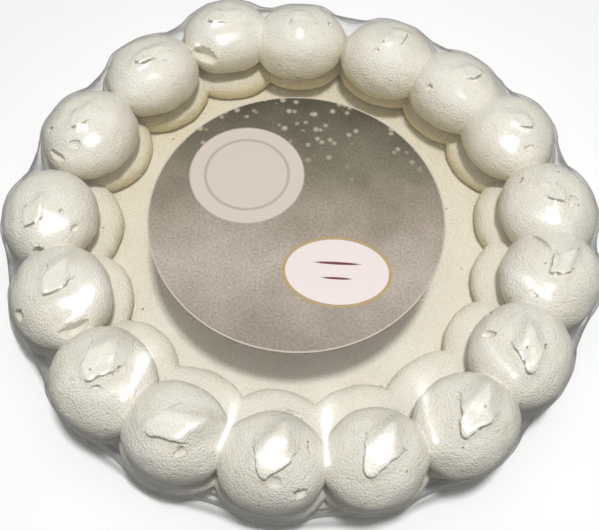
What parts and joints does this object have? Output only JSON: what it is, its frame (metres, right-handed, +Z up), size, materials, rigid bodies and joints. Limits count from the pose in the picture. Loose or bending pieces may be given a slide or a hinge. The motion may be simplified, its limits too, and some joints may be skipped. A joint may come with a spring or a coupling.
{
  "type": "pavlova",
  "caption": "Shop-bought pavlova base: a round baked meringue nest with a ring of piped mounds, sealed in clear shrink film, with a round card on top.",
  "frame": {"origin": "middle of the footprint, on the surface that the meringue stands on", "axes": "+Z up, -Y towards the front, +X to the right seen from the front"},
  "size_m": [0.2576, 0.259, 0.0472],
  "materials": {
    "baked_meringue": "matte, dry and finely grained",
    "shrink_film": "clear and glossy plastic film",
    "printed_card": "satin print"
  },
  "bodies": {
    "root": {"meringue": "baked_meringue", "film": "shrink_film", "card": "printed_card"}
  },
  "joints": []
}
